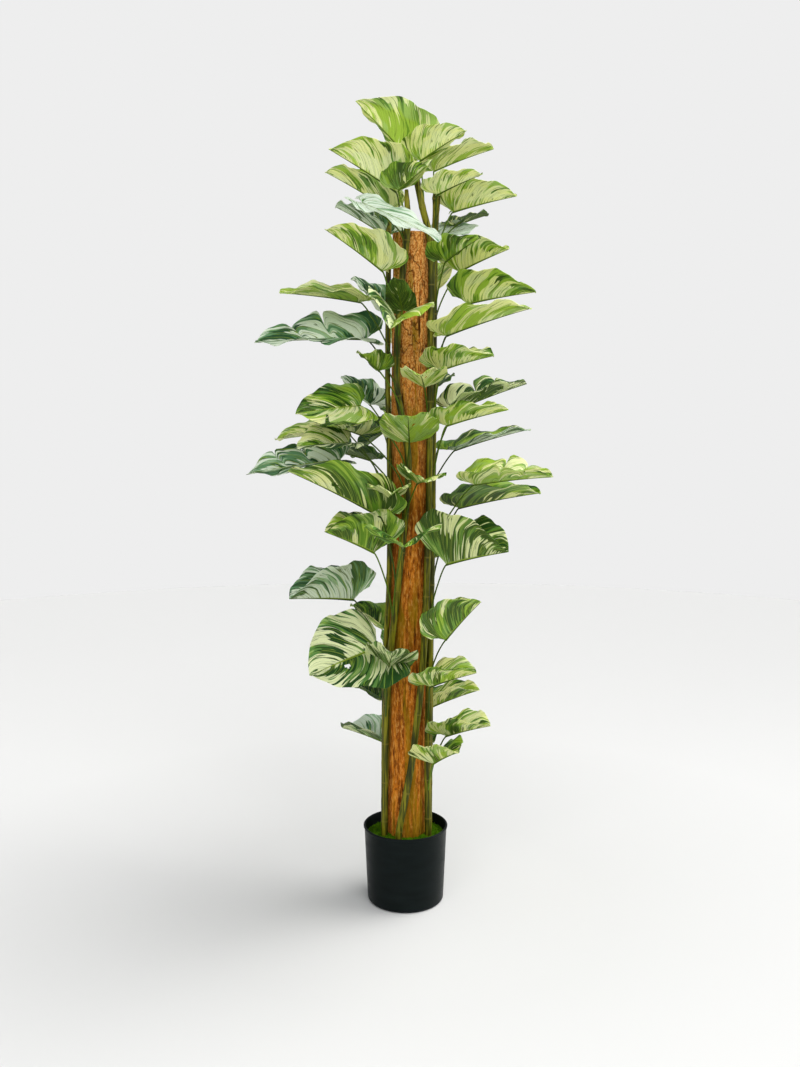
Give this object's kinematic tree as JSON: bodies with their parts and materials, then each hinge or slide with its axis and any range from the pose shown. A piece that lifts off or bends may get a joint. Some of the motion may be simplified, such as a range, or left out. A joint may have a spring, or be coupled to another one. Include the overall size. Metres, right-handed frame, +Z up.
{
  "type": "potted climbing pothos on a bark pole",
  "caption": "Climbing pothos with variegated heart-shaped leaves on long stalks, its stems running up a bark pole that stands in a plain black tapered pot topped with moss.",
  "frame": {"origin": "centre of the pot's flat underside, on the surface that it stands on", "axes": "+Z up along the pole, -Y towards the front that the picture shows, +X to the right of it"},
  "size_m": [0.6499, 0.624, 1.7298],
  "materials": {
    "pot_plastic": "satin",
    "cement": "matte",
    "moss": "matte",
    "bark": "matte",
    "foliage": "satin"
  },
  "bodies": {
    "root": {"pot": "pot_plastic", "filler": "cement", "moss": "moss", "bark_pole": "bark", "leafy_stem_left": "foliage", "leafy_stem_front": "foliage", "leafy_stem_left_back": "foliage", "leafy_stem_right_front": "foliage", "leafy_stem_right": "foliage", "leafy_stem_back_right": "foliage", "leafy_stem_back_left": "foliage"}
  },
  "joints": []
}
